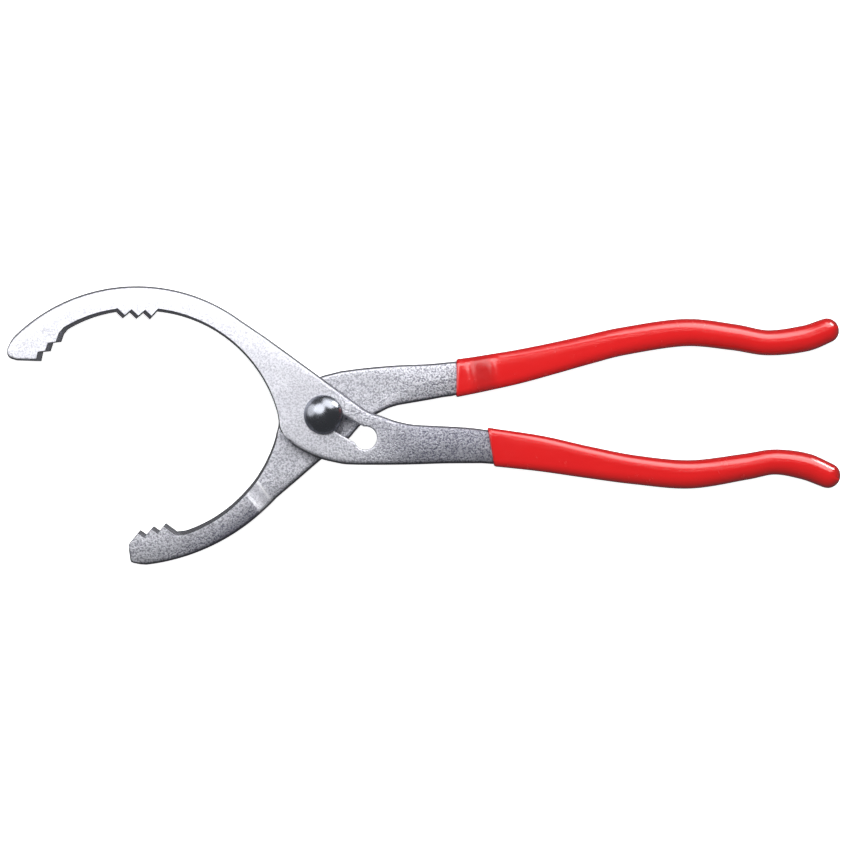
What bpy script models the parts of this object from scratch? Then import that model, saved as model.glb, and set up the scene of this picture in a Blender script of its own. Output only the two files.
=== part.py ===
"""Slip-joint oil filter wrench, 305 mm long, standing for the 60 to 90 mm capacity class.

X runs along the tool towards the handles, Y across it and Z through its thickness. The origin is on the
pivot axis, at the bolt's end face, which is the lowest point of the tool. Lengths below are in millimetres
and become metres as each mesh is made.

The front arm carries the long upper jaw and the lower handle. It is flat. The rear arm carries the short
lower jaw and the upper handle. It lies under the front arm at the joint, and a joggle near its jaw and
another in its handle bring both ends up level with the front arm.
"""

import math

import bmesh
import bpy
from mathutils import Vector

MM = 0.001

# Thicknesses and levels
PLATE = 6.0
GAP = 0.3
NUT_THICKNESS = 4.5
BOLT_PROUD = 0.8
HEAD_HEIGHT = 4.4
REAR_LEVEL = BOLT_PROUD + NUT_THICKNESS + GAP + PLATE / 2
STEP = PLATE + GAP
FRONT_LEVEL = REAR_LEVEL + STEP
HEAD_LEVEL = FRONT_LEVEL + PLATE / 2 + GAP

# Pivot: an M8 bolt with two flats, in a slot with a seat at each end and a waist between them
BOLT_RADIUS = 3.9
SEAT_RADIUS = BOLT_RADIUS + GAP
FLATS = 6.1
WAIST = FLATS + 2 * GAP
SLIP = 17.5
SLIP_ANGLE = math.radians(-29.2)
HEAD_RADIUS = 7.15
HEAD_RIM = 0.5
NUT_ACROSS_FLATS = 13.0
NUT_STEPS = 48
NUT_FACE_SHARE = 0.98
NUT_BEVEL = 0.7
NUT_LEAD = 0.5
BOLT_LEAD = 0.6
SHOULDER_STEP = 0.1
DOME_STEPS = 8
CIRCLE_STEPS = 32
HOLE_CHAMFER = 0.45
CUTTER_BEYOND = 1.0

# Edge profiles of a forged arm, from its flat face down to its middle: (inset, depth below the face)
ROUNDED = ((1.3, 0.0), (0.38, 0.38), (0.0, 1.3))
DRAFTED = ((1.0, 0.0), (0.5, 1.0), (0.0, 2.0))
TIP_WALL = ((1.8, 0.0), (0.9, 1.0), (0.0, 2.0))
TOOTH_FRONT = ((1.25, 0.0), (0.65, 1.0), (0.0, 2.0))
TOOTH_BACK = ((0.3, 0.0), (0.12, 0.4), (0.0, 1.0))

# The jaws' arcs: centre and radius
FRONT_OUTER = (Vector((-68.1, -16.9)), 63.6)
FRONT_TIP_ARC = (Vector((-68.7, -9.7)), 47.6)
FRONT_INNER = (Vector((-65.8, -13.0)), 50.8)
REAR_INNER = (Vector((-66.2, 5.6)), 50.4)
REAR_OUTER = (Vector((-73.2, 20.0)), 75.1)
JAW_STEP_DEGREES = 3.0
CURVE_STEPS = 3
NEARLY_STRAIGHT = 0.25

# Joggles of the rear arm: direction along the arm, and where the ramp starts and ends along it
JAW_JOGGLE = (math.radians(217.5), 34.3, 39.7)
HANDLE_JOGGLE = (math.radians(10.0), 55.9, 64.1)

# Grips: (x, y, half width) along the middle line, from the mouth to the centre of the round end
FRONT_HANDLE = (
    (60.9, -11.8, 6.9), (79.0, -14.2, 6.5), (96.5, -17.4, 5.8), (114.0, -20.2, 5.3), (133.7, -21.8, 5.2),
    (153.4, -19.1, 4.8), (164.4, -17.3, 4.6), (175.3, -18.8, 4.9), (183.9, -22.2, 4.6),
)
REAR_HANDLE = (
    (48.4, 13.3, 6.9), (57.1, 14.8, 6.6), (70.2, 17.3, 6.2), (83.4, 20.4, 5.7), (96.5, 23.7, 5.3),
    (109.6, 26.8, 5.1), (131.5, 29.9, 5.0), (149.0, 28.3, 4.8), (162.0, 26.2, 4.6), (175.3, 27.7, 4.8),
    (183.5, 30.6, 4.5),
)
FRONT_MOUTH_LEAN = math.radians(17.5)
REAR_MOUTH_LEAN = math.radians(-10.0)
MOUTH_HALF_THICKNESS = 4.4
GRIP_HALF_THICKNESS = 5.6
MOUTH_LENGTH = 14.0
MOUTH_WALL = 0.5
GRIP_WALL = 1.2
BOXY_CORNER = 2.6
HOLLOW_CORNER = 1.0
CORNER_STEPS = 4
GRIP_END_DEGREES = (20, 40, 58, 74, 86)
TANG_SHORT_OF_END = 7.5
TANG_END_STEPS = 8
TANG_STARTS_AT_STEP = 2

SHARP_DEGREES = 40
SAME_PLANE = 1e-7


# ---- outlines -------------------------------------------------------------------------------------------

def arc(centre, radius, start, end, steps):
    """Points on an arc from the angle start to the angle end, in degrees."""
    points = []
    for step in range(steps + 1):
        angle = math.radians(start + (end - start) * step / steps)
        points.append(centre + radius * Vector((math.cos(angle), math.sin(angle))))
    return points


def jaw_arc(circle, start, end):
    """Points on one of the jaws' arcs, a few degrees apart."""
    return arc(*circle, start, end, round(abs(end - start) / JAW_STEP_DEGREES))


def curve_through(points):
    """Points on a smooth curve through the given ones, of any dimension."""
    points = [Vector(point) for point in points]
    padded = [2 * points[0] - points[1], *points, 2 * points[-1] - points[-2]]
    smooth = []
    for before, start, end, after in zip(padded, padded[1:], padded[2:], padded[3:]):
        for step in range(CURVE_STEPS):
            t = step / CURVE_STEPS
            pull = (end - before) * 0.5
            push = (after - start) * 0.5
            smooth.append(
                start * (2 * t**3 - 3 * t**2 + 1)
                + pull * (t**3 - 2 * t**2 + t)
                + end * (3 * t**2 - 2 * t**3)
                + push * (t**3 - t**2)
            )
    smooth.append(points[-1])
    return smooth


def edge(points, profile):
    """A stretch of an outline: every point of it starts an edge of this profile."""
    return [(Vector(point), profile) for point in points]


def teeth(foot, pitch, flank, count):
    """Teeth along a jaw, from the first one's foot, the step to the next and the way up a tooth's flank."""
    outline = []
    for number in range(count):
        start = Vector(foot) + number * Vector(pitch)
        outline += [(start, TOOTH_FRONT), (start + Vector(flank), TOOTH_BACK)]
    return outline


def handle_path(stations):
    """(middle point, direction along the handle, half width) at even steps along a grip."""
    smooth = curve_through(stations)
    middles = [Vector((x, y)) for x, y, _ in smooth]
    path = []
    for index, middle in enumerate(middles):
        before = middles[max(index - 1, 0)]
        after = middles[min(index + 1, len(middles) - 1)]
        path.append((middle, (after - before).normalized(), smooth[index][2]))
    return path


def left_of(direction):
    return Vector((-direction.y, direction.x))


def run_along(path):
    """The distance from the mouth to each step of a path."""
    distances = [0.0]
    for (start, _, _), (end, _, _) in zip(path, path[1:]):
        distances.append(distances[-1] + (end - start).length)
    return distances


def wall_at(distance):
    """The grip's wall thickness at this distance from its mouth."""
    return MOUTH_WALL + (GRIP_WALL - MOUTH_WALL) * min(distance / MOUTH_LENGTH, 1.0)


def tang_path(stations):
    """(middle point, direction, half width) of the steel inside a grip."""
    path = handle_path(stations)
    distances = run_along(path)
    end = distances[-1] - TANG_SHORT_OF_END
    tang = []
    for (middle, direction, half_width), distance in zip(path, distances):
        if distance <= end:
            tang.append((middle, direction, half_width - wall_at(distance) - GAP))
    return tang


def tang_outline(stations):
    """The steel inside a grip, counterclockwise: its right side, its round end and its left side."""
    tang = tang_path(stations)[TANG_STARTS_AT_STEP:]
    right = [middle - left_of(direction) * half for middle, direction, half in tang]
    left = [middle + left_of(direction) * half for middle, direction, half in tang]
    middle, direction, half = tang[-1]
    heading = math.degrees(math.atan2(direction.y, direction.x))
    end = arc(middle, half, heading - 90, heading + 90, TANG_END_STEPS)
    return right[:-1] + end + left[:-1][::-1]


def angle_on(circle, x, above):
    """The angle in degrees at which a jaw's circle has this x, on its upper or lower half."""
    centre, radius = circle
    angle = math.degrees(math.acos((x - centre.x) / radius))
    return angle if above else -angle


def front_outline():
    """The flat arm, counterclockwise from the end of its jaw."""
    tip_nose = curve_through(((-114.2, 26.3), (-115.4, 23.2), (-114.5, 20.9), (-111.8, 19.9)))
    tip_steps = (
        ((-103.0, 19.6), TIP_WALL), ((-102.3, 22.8), TOOTH_BACK), ((-99.6, 23.1), TIP_WALL),
        ((-98.6, 26.1), TOOTH_BACK), ((-95.7, 26.5), TIP_WALL), ((-94.7, 29.4), DRAFTED),
    )
    first_arc = jaw_arc(FRONT_TIP_ARC, 121.0, 98.6)
    middle_teeth = teeth((-75.7, 37.4), (4.95, -0.2), (2.4, -2.3), 3)
    second_arc = jaw_arc(FRONT_INNER, angle_on(FRONT_INNER, -60.8, True), 15.6)
    heel = curve_through(
        ((-16.4, -2.0), (-15.9, -5.3), (-13.3, -9.2), (-8.0, -12.9), (-1.0, -16.0), (6.5, -17.8)))
    draft_ends = 2 * CURVE_STEPS
    underside = ((15.0, -18.2), (30.0, -18.1), (44.0, -17.7), (57.6, -17.6))
    handle_top = curve_through(
        ((56.6, -5.3), (50.0, -4.7), (38.1, -4.1), (32.3, -3.7), (26.4, -2.5), (20.6, -0.5), (17.2, 0.6)))
    shoulder = ((15.4, 1.4), (6.0, 8.2), (-3.0, 14.8), (-12.0, 21.4), (-21.5, 28.3))
    back = jaw_arc(FRONT_OUTER, 54.2, 136.0)
    return (
        edge(tip_nose, ROUNDED)
        + [(Vector(point), profile) for point, profile in tip_steps]
        + edge(first_arc, DRAFTED)
        + middle_teeth
        + edge(second_arc, DRAFTED)
        + edge(heel[:draft_ends], DRAFTED)
        + edge(heel[draft_ends:], ROUNDED)
        + edge(underside, ROUNDED)
        + edge(tang_outline(FRONT_HANDLE), ROUNDED)
        + edge(handle_top, ROUNDED)
        + edge(shoulder, ROUNDED)
        + edge(back[:-1], ROUNDED)
    )


def rear_outline():
    """The joggled arm, counterclockwise from the end of its jaw, as it lies before its joggles are bent."""
    end_face = ((-71.0, -47.3), (-70.5, -51.7), (-70.05, -53.6), (-66.6, -54.5))
    underside = jaw_arc(REAR_OUTER, angle_on(REAR_OUTER, -64.5, False), -42.2)
    lower_shoulder = ((-10.5, -24.4), (-1.2, -16.4), (3.6, -12.9))
    neck = curve_through(((9.4, -8.3), (12.6, -4.5), (15.8, -1.6), (20.6, 1.0), (23.6, 2.5), (27.0, 3.6)))
    handle_bottom = ((32.3, 4.5), (38.1, 5.5), (43.5, 6.5), (46.6, 6.9))
    handle_top = ((46.6, 19.2), (38.1, 18.4), (26.4, 17.9), (14.8, 16.9), (6.2, 15.8))
    boss = curve_through(((-0.5, 14.1), (-8.0, 10.2), (-13.2, 4.6), (-15.9, -1.0), (-16.8, -5.4)))
    inner_arc = jaw_arc(REAR_INNER, -14.5, angle_on(REAR_INNER, -50.2, False))
    first_tooth = ((Vector((-53.4, -42.6)), TOOTH_FRONT), (Vector((-57.5, -39.6)), TOOTH_BACK))
    lower_teeth = teeth((-59.7, -42.3), (-4.9, -1.4), (-2.2, 1.6), 2)
    return (
        edge(end_face, ROUNDED)
        + edge(underside, ROUNDED)
        + edge(lower_shoulder, ROUNDED)
        + edge(neck, ROUNDED)
        + edge(handle_bottom, ROUNDED)
        + edge(tang_outline(REAR_HANDLE), ROUNDED)
        + edge(handle_top, ROUNDED)
        + edge(boss[:-1], ROUNDED)
        + edge(inner_arc, DRAFTED)
        + list(first_tooth)
        + lower_teeth
    )


# ---- solids ---------------------------------------------------------------------------------------------

def loft(bm, rings, caps=True):
    """Faces from each ring of points to the next, and a flat cap on the first and the last ring."""
    loops = [[bm.verts.new(point) for point in ring] for ring in rings]
    for near, far in zip(loops, loops[1:]):
        for index in range(len(near)):
            after = (index + 1) % len(near)
            bm.faces.new((near[index], near[after], far[after], far[index]))
    if caps:
        bm.faces.new(loops[0][::-1])
        bm.faces.new(loops[-1])
    return loops


def inset_corner(before, corner, after, width_before, width_after):
    """Where two edges meet once each has moved into the material by its own width."""
    inward_before = left_of((corner - before).normalized())
    inward_after = left_of((after - corner).normalized())
    turn = inward_before.cross(inward_after)
    if abs(turn) < NEARLY_STRAIGHT:
        middle = (inward_before + inward_after).normalized()
        return corner + middle * (width_before + width_after) / 2
    along_x = (width_before * inward_after.y - width_after * inward_before.y) / turn
    along_y = (width_after * inward_before.x - width_before * inward_after.x) / turn
    return corner + Vector((along_x, along_y))


def plate_rings(outline, level):
    """The rings of a forged arm, from its lower face to its upper one."""
    count = len(outline)
    rings = []
    rows = [(row, -1) for row in range(3)] + [(row, 1) for row in (2, 1, 0)]
    for row, side in rows:
        ring = []
        for index, (corner, profile) in enumerate(outline):
            before, profile_before = outline[index - 1]
            after, _ = outline[(index + 1) % count]
            point = inset_corner(before, corner, after, profile_before[row][0], profile[row][0])
            depth = (profile_before[row][1] + profile[row][1]) / 2
            ring.append(Vector((point.x, point.y, level + side * (PLATE / 2 - depth))) * MM)
        rings.append(ring)
    return rings


def joggle(bm):
    """Bends the rear arm or its grip up by one step beyond each ramp's start."""
    for heading, start, end in (JAW_JOGGLE, HANDLE_JOGGLE):
        along = Vector((math.cos(heading), math.sin(heading), 0.0))
        for crease in (start, end):
            everything = bm.verts[:] + bm.edges[:] + bm.faces[:]
            place = along * crease * MM
            bmesh.ops.bisect_plane(bm, geom=everything, dist=SAME_PLANE, plane_co=place, plane_no=along)
        for vertex in bm.verts:
            share = (vertex.co.dot(along) / MM - start) / (end - start)
            vertex.co.z += STEP * MM * min(max(share, 0.0), 1.0)


def rounded_section(half_width, half_thickness, corner):
    """(across, up) points of a rectangle with round corners, counterclockwise seen along the handle."""
    corner = min(corner, half_width, half_thickness)
    points = []
    for quarter, (side, up) in enumerate(((1, 1), (-1, 1), (-1, -1), (1, -1))):
        centre = Vector((side * (half_width - corner), up * (half_thickness - corner)))
        points += arc(centre, corner, 90 * quarter, 90 * quarter + 90, CORNER_STEPS)
    return points


def ring_across(middle, direction, section, level):
    """A section set across the handle at its middle point."""
    side = left_of(direction)
    ring = []
    for across, up in section:
        point = middle + side * across
        ring.append(Vector((point.x, point.y, level + up)) * MM)
    return ring


def grip_rings(stations, level, mouth_lean):
    """The outer rings from the mouth to the round end, and the inner rings back to the mouth."""
    path = handle_path(stations)
    distances = run_along(path)
    outer = []
    inner = []
    tang_steps = len(tang_path(stations))
    for index, (middle, direction, half_width) in enumerate(path):
        opening = min(distances[index] / MOUTH_LENGTH, 1.0)
        lean = mouth_lean * (1.0 - opening)
        heading = math.atan2(direction.y, direction.x) + lean
        direction = Vector((math.cos(heading), math.sin(heading)))
        half_width = half_width / math.cos(lean)
        thickness = MOUTH_HALF_THICKNESS + (GRIP_HALF_THICKNESS - MOUTH_HALF_THICKNESS) * opening
        roundness = distances[index] / distances[-1]
        corner = BOXY_CORNER + (GRIP_HALF_THICKNESS - BOXY_CORNER) * roundness
        outer.append(ring_across(middle, direction, rounded_section(half_width, thickness, corner), level))
        if index < tang_steps:
            half_hole = half_width - wall_at(distances[index])
            hole = rounded_section(half_hole, PLATE / 2 + GAP, HOLLOW_CORNER)
            inner.append(ring_across(middle, direction, hole, level))
    middle, direction, half_width = path[-1]
    for degrees in GRIP_END_DEGREES:
        shrink = math.cos(math.radians(degrees))
        centre = middle + direction * half_width * math.sin(math.radians(degrees))
        section = rounded_section(half_width * shrink, GRIP_HALF_THICKNESS * shrink, GRIP_HALF_THICKNESS)
        outer.append(ring_across(centre, direction, section, level))
    tang_end, direction, half_tang = tang_path(stations)[-1]
    hollow_end = tang_end + direction * (half_tang + GAP)
    hole = rounded_section(half_tang + GAP, PLATE / 2 + GAP, HOLLOW_CORNER)
    inner.append(ring_across(hollow_end, direction, hole, level))
    return outer, inner


def arm_mesh(name, outline, level, bent):
    bm = bmesh.new()
    loft(bm, plate_rings(outline, level))
    if bent:
        joggle(bm)
    return finished(bm, name)


def grip_mesh(name, stations, level, mouth_lean, bent):
    bm = bmesh.new()
    outer, inner = grip_rings(stations, level, mouth_lean)
    loft(bm, inner[::-1] + outer)
    if bent:
        joggle(bm)
    return finished(bm, name)


def finished(bm, name):
    bmesh.ops.recalc_face_normals(bm, faces=bm.faces)
    mesh = bpy.data.meshes.new(name)
    bm.to_mesh(mesh)
    bm.free()
    mesh.shade_smooth()
    mesh.set_sharp_from_angle(angle=math.radians(SHARP_DEGREES))
    return mesh


def add_object(name, mesh, material, parent=None):
    piece = bpy.data.objects.new(name, mesh)
    bpy.context.collection.objects.link(piece)
    mesh.materials.append(material)
    piece.parent = parent
    return piece


def steel_or_vinyl(name, colour, metallic, roughness):
    material = bpy.data.materials.new(name)
    material.use_nodes = True
    shader = material.node_tree.nodes["Principled BSDF"]
    shader.inputs["Base Color"].default_value = (*colour, 1.0)
    shader.inputs["Metallic"].default_value = metallic
    shader.inputs["Roughness"].default_value = roughness
    return material


def hole_outline(radius, waist, pitch, steps):
    """A round hole, or with a pitch two round seats joined by a waist, in the slot's own direction."""
    if not pitch:
        return arc(Vector((0, 0)), radius, 0, 360, steps)[:-1]
    opening = math.degrees(math.asin(waist / 2 / radius))
    far_seat = arc(Vector((pitch, 0)), radius, -180 + opening, 180 - opening, steps)
    near_seat = arc(Vector((0, 0)), radius, opening, 360 - opening, steps)
    return far_seat + near_seat


def hole_cutter(name, level, pitch=0.0):
    """Cuts a hole through an arm, with a small chamfer at each face."""
    top = PLATE / 2 + CUTTER_BEYOND
    chamfer_foot = PLATE / 2 - HOLE_CHAMFER
    wider = HOLE_CHAMFER + CUTTER_BEYOND
    rows = ((-top, wider), (-chamfer_foot, 0.0), (chamfer_foot, 0.0), (top, wider))
    rings = []
    for height, flare in rows:
        outline = hole_outline(SEAT_RADIUS + flare, WAIST + 2 * flare, pitch, CIRCLE_STEPS)
        rings.append([Vector((x, y, level + height)) * MM for x, y in outline])
    bm = bmesh.new()
    loft(bm, rings)
    cutter = bpy.data.objects.new(name, finished(bm, name))
    bpy.context.collection.objects.link(cutter)
    cutter.rotation_euler.z = SLIP_ANGLE
    cutter.hide_render = True
    cutter.display_type = 'WIRE'
    return cutter


def cut(piece, cutter):
    modifier = piece.modifiers.new("Cut " + cutter.name, 'BOOLEAN')
    modifier.operation = 'DIFFERENCE'
    modifier.solver = 'EXACT'
    modifier.object = cutter


def bolt_section(height):
    """The bolt's outline at one height: round, or round with two flats where it runs in the slot."""
    points = arc(Vector((0, 0)), BOLT_RADIUS, 0, 360, CIRCLE_STEPS)[:-1]
    in_slot = REAR_LEVEL + PLATE / 2 < height < HEAD_LEVEL + GAP
    if in_slot:
        points = [Vector((x, min(max(y, -FLATS / 2), FLATS / 2))) for x, y in points]
    return points


def bolt_mesh(name):
    """A dome head, a shank with two flats and a round end with a chamfer."""
    shoulder = REAR_LEVEL + PLATE / 2
    end_share = (BOLT_RADIUS - BOLT_LEAD) / BOLT_RADIUS
    rows = [(0.0, end_share), (BOLT_LEAD, 1.0), (shoulder - SHOULDER_STEP / 2, 1.0)]
    rings = []
    for height, scale in rows:
        rings.append([Vector((*(point * scale), height)) * MM for point in bolt_section(height)])
    for height in (shoulder + SHOULDER_STEP / 2, HEAD_LEVEL):
        rings.append([Vector((*point, height)) * MM for point in bolt_section(height)])
    cap_height = HEAD_HEIGHT - HEAD_RIM
    dome_radius = (HEAD_RADIUS**2 + cap_height**2) / (2 * cap_height)
    widest = math.degrees(math.asin(HEAD_RADIUS / dome_radius))
    profile = [(HEAD_RADIUS, HEAD_LEVEL), (HEAD_RADIUS, HEAD_LEVEL + HEAD_RIM)]
    for step in range(1, DOME_STEPS):
        angle = math.radians(widest * (1 - step / DOME_STEPS))
        drop = dome_radius * (1 - math.cos(angle))
        profile.append((dome_radius * math.sin(angle), HEAD_LEVEL + HEAD_HEIGHT - drop))
    for radius, height in profile:
        circle = arc(Vector((0, 0)), radius, 0, 360, CIRCLE_STEPS)[:-1]
        rings.append([Vector((*point, height)) * MM for point in circle])
    bm = bmesh.new()
    loft(bm, rings)
    return finished(bm, name)


def nut_mesh(name):
    """A hexagon with its corners turned off, and a bore that clears the thread."""
    top = BOLT_PROUD + NUT_THICKNESS
    flat_distance = NUT_ACROSS_FLATS / 2
    corner_radius = NUT_ACROSS_FLATS / math.sqrt(3)
    rows = (
        (BOLT_PROUD, flat_distance * NUT_FACE_SHARE), (BOLT_PROUD + NUT_BEVEL, corner_radius),
        (top, corner_radius),
    )
    rings = []
    for height, limit in rows:
        ring = []
        for step in range(NUT_STEPS):
            angle = 2 * math.pi * step / NUT_STEPS
            from_flat = (angle + math.pi / 6) % (math.pi / 3) - math.pi / 6
            reach = min(flat_distance / math.cos(from_flat), limit)
            ring.append(Vector((reach * math.cos(angle), reach * math.sin(angle), height)) * MM)
        rings.append(ring)
    bore_rows = (
        (top, SEAT_RADIUS + NUT_LEAD), (top - NUT_LEAD, SEAT_RADIUS),
        (BOLT_PROUD + NUT_LEAD, SEAT_RADIUS), (BOLT_PROUD, SEAT_RADIUS + NUT_LEAD),
    )
    for height, radius in bore_rows:
        circle = arc(Vector((0, 0)), radius, 0, 360, NUT_STEPS)[:-1]
        rings.append([Vector((*point, height)) * MM for point in circle])
    bm = bmesh.new()
    loops = loft(bm, rings, caps=False)
    for index in range(NUT_STEPS):
        after = (index + 1) % NUT_STEPS
        bm.faces.new((loops[-1][index], loops[-1][after], loops[0][after], loops[0][index]))
    return finished(bm, name)


# ---- the wrench -----------------------------------------------------------------------------------------

def build():
    for leftover in list(bpy.data.objects):
        bpy.data.objects.remove(leftover, do_unlink=True)

    plated = steel_or_vinyl("plated_steel", (0.62, 0.63, 0.66), 0.9, 0.42)
    chrome = steel_or_vinyl("bright_steel", (0.80, 0.81, 0.83), 1.0, 0.12)
    zinc = steel_or_vinyl("zinc_steel", (0.66, 0.67, 0.70), 1.0, 0.35)
    vinyl = steel_or_vinyl("red_vinyl", (0.78, 0.012, 0.018), 0.0, 0.28)

    front_arm = add_object("front_arm", arm_mesh("front_arm", front_outline(), FRONT_LEVEL, False), plated)
    cut(front_arm, hole_cutter("slot_cutter", FRONT_LEVEL, SLIP))
    front_grip = grip_mesh("front_grip", FRONT_HANDLE, FRONT_LEVEL, FRONT_MOUTH_LEAN, False)
    add_object("front_grip", front_grip, vinyl)

    pivot = bpy.data.objects.new("pivot_axis", None)
    bpy.context.collection.objects.link(pivot)
    bolt = add_object("pivot_bolt", bolt_mesh("pivot_bolt"), chrome, pivot)
    bolt.rotation_euler.z = SLIP_ANGLE
    add_object("pivot_nut", nut_mesh("pivot_nut"), zinc, pivot)

    rear_arm = add_object("rear_arm", arm_mesh("rear_arm", rear_outline(), REAR_LEVEL, True), plated, pivot)
    cut(rear_arm, hole_cutter("pivot_hole_cutter", REAR_LEVEL))
    rear_grip = grip_mesh("rear_grip", REAR_HANDLE, REAR_LEVEL, REAR_MOUTH_LEAN, True)
    add_object("rear_grip", rear_grip, vinyl, pivot)


build()
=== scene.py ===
"""Looks of the slip-joint oil filter wrench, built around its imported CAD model.

Each forging, grip, bolt and nut is rebuilt as a finer mesh in the place of its CAD solid, from the same
driving dimensions. Lengths in the mesh code are in millimetres and become metres as each mesh is made.
Lengths in the materials, the floor, the lights and the camera are in metres.
"""

import math

import bmesh
import bpy
import numpy as np
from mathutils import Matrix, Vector, noise
from mathutils.geometry import delaunay_2d_cdt

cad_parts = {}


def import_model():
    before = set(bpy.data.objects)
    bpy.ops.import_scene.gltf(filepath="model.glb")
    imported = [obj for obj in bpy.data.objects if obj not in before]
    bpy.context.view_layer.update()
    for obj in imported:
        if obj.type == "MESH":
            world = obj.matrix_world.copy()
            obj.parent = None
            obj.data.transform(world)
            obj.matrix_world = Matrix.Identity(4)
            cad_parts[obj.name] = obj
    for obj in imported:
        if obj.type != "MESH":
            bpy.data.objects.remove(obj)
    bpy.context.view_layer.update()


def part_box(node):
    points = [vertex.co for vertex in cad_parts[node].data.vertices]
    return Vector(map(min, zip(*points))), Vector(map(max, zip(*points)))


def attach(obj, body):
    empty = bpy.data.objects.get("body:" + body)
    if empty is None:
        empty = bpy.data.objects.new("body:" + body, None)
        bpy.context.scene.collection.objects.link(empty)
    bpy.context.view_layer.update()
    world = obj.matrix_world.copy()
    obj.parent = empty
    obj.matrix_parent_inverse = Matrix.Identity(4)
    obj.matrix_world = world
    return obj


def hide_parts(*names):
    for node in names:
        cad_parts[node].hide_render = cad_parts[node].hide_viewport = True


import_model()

MM = 0.001


def level_of(node):
    """The middle height of a CAD node, in millimetres."""
    low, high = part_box(node)
    return (low.z + high.z) / 2 / MM


# Levels and thicknesses, from the CAD model
PLATE = 6.0
GAP = 0.3
FRONT_LEVEL = level_of("front_arm")
STEP = PLATE + GAP
REAR_LEVEL = FRONT_LEVEL - STEP
NUT_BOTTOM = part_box("pivot_nut")[0].z / MM
NUT_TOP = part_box("pivot_nut")[1].z / MM
BOLT_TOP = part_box("pivot_bolt")[1].z / MM
HEAD_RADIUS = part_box("pivot_bolt")[1].x / MM
HEAD_LEVEL = FRONT_LEVEL + PLATE / 2 + GAP

# Pivot
BOLT_RADIUS = 3.9
SEAT_RADIUS = BOLT_RADIUS + GAP
FLATS = 6.1
WAIST = FLATS + 2 * GAP
SLIP = 17.5
SLIP_ANGLE = math.radians(-29.2)
HEAD_RIM = 0.5
HEAD_EDGE = ((0.35, 0.0), (0.1, 0.1), (0.0, 0.3))  # (inset, height) under the dome
NUT_ACROSS_FLATS = 13.0
NUT_CHAMFER = 0.75
BORE_CHAMFER = 0.4
THREAD_PITCH = 1.25
THREAD_DEPTH = 0.55
THREAD_ROOT = 2.3
THREAD_END = ((1.6, 0.45), (2.2, 0.0))  # (radius, height) of the hollow in the bolt's end

# The jaws' arcs: centre and radius
FRONT_OUTER = (Vector((-68.1, -16.9)), 63.6)
FRONT_TIP_ARC = (Vector((-68.7, -9.7)), 47.6)
FRONT_INNER = (Vector((-65.8, -13.0)), 50.8)
REAR_INNER = (Vector((-66.2, 5.6)), 50.4)
REAR_OUTER = (Vector((-73.2, 20.0)), 75.1)

# Joggles of the rear arm and its grip: direction along the arm, and where the ramp starts and ends along it
JAW_JOGGLE = (math.radians(217.5), 34.3, 39.7)
HANDLE_JOGGLE = (math.radians(10.0), 55.9, 64.1)
STEEL_CREASE = 0.9
VINYL_CREASE = 2.0

# Grips: (x, y, half width) along the middle line, from the mouth to the centre of the round end
FRONT_HANDLE = (
    (60.9, -11.8, 6.9), (79.0, -14.2, 6.5), (96.5, -17.4, 5.8), (114.0, -20.2, 5.3), (133.7, -21.8, 5.2),
    (153.4, -19.1, 4.8), (164.4, -17.3, 4.6), (175.3, -18.8, 4.9), (183.9, -22.2, 4.6),
)
REAR_HANDLE = (
    (48.4, 13.3, 6.9), (57.1, 14.8, 6.6), (70.2, 17.3, 6.2), (83.4, 20.4, 5.7), (96.5, 23.7, 5.3),
    (109.6, 26.8, 5.1), (131.5, 29.9, 5.0), (149.0, 28.3, 4.8), (162.0, 26.2, 4.6), (175.3, 27.7, 4.8),
    (183.5, 30.6, 4.5),
)
FRONT_MOUTH_LEAN = math.radians(17.5)
REAR_MOUTH_LEAN = math.radians(-10.0)
MOUTH_HALF_THICKNESS = 4.4
GRIP_HALF_THICKNESS = 5.6
MOUTH_LENGTH = 14.0
MOUTH_WALL = 0.5
GRIP_WALL = 1.2
BOXY_CORNER = 2.6
HOLLOW_CORNER = 1.3
HOLLOW_SLACK = (0.06, 0.04)  # across and up, so that the vinyl clears the steel's swelling
FACE_DOME = 0.07  # how far a grip's faces fall at their sides, as a share of half its thickness
LIP = 0.9
TANG_SHORT_OF_END = 7.5

# How fine the meshes are
CURVE_STEPS = 8
GRIP_STEPS = 16
LIP_STEPS = 5
CORNER_STEPS = 8
GRID_STEP = 1.25
ROUND_STEPS = 96
SEAT_STEPS = 40
HOLE_STEPS = 56
THREAD_STEPS = 64
DOME_STEPS = 26

# The forgings' faces fall away towards their outer edges, more along a jaw or handle than at the joint
CROWN_HEIGHT = 0.5
CROWN_WIDTH = 4.6
HANDLE_CROWN = 0.6
OUTER_FACE_CROWN = 0.35  # the share of it at the joint, on the faces that don't bear on the other arm
JOINT_RADIUS = 24.0
FACE_SINK = 0.05  # keeps a swelling inside the CAD's face


# ---- outlines -------------------------------------------------------------------------------------------

def arc(centre, radius, start, end, steps):
    """Points on an arc from the angle start to the angle end, in degrees."""
    points = []
    for step in range(steps + 1):
        angle = math.radians(start + (end - start) * step / steps)
        points.append(centre + radius * Vector((math.cos(angle), math.sin(angle))))
    return points


def curve_through(points, steps=CURVE_STEPS):
    """Points on a smooth curve through the given ones, of any dimension."""
    points = [Vector(point) for point in points]
    padded = [2 * points[0] - points[1], *points, 2 * points[-1] - points[-2]]
    smooth = []
    for before, start, end, after in zip(padded, padded[1:], padded[2:], padded[3:]):
        for step in range(steps):
            t = step / steps
            pull = (end - before) * 0.5
            push = (after - start) * 0.5
            smooth.append(
                start * (2 * t**3 - 3 * t**2 + 1)
                + pull * (t**3 - 2 * t**2 + t)
                + end * (3 * t**2 - 2 * t**3)
                + push * (t**3 - t**2)
            )
    smooth.append(points[-1])
    return smooth


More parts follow.
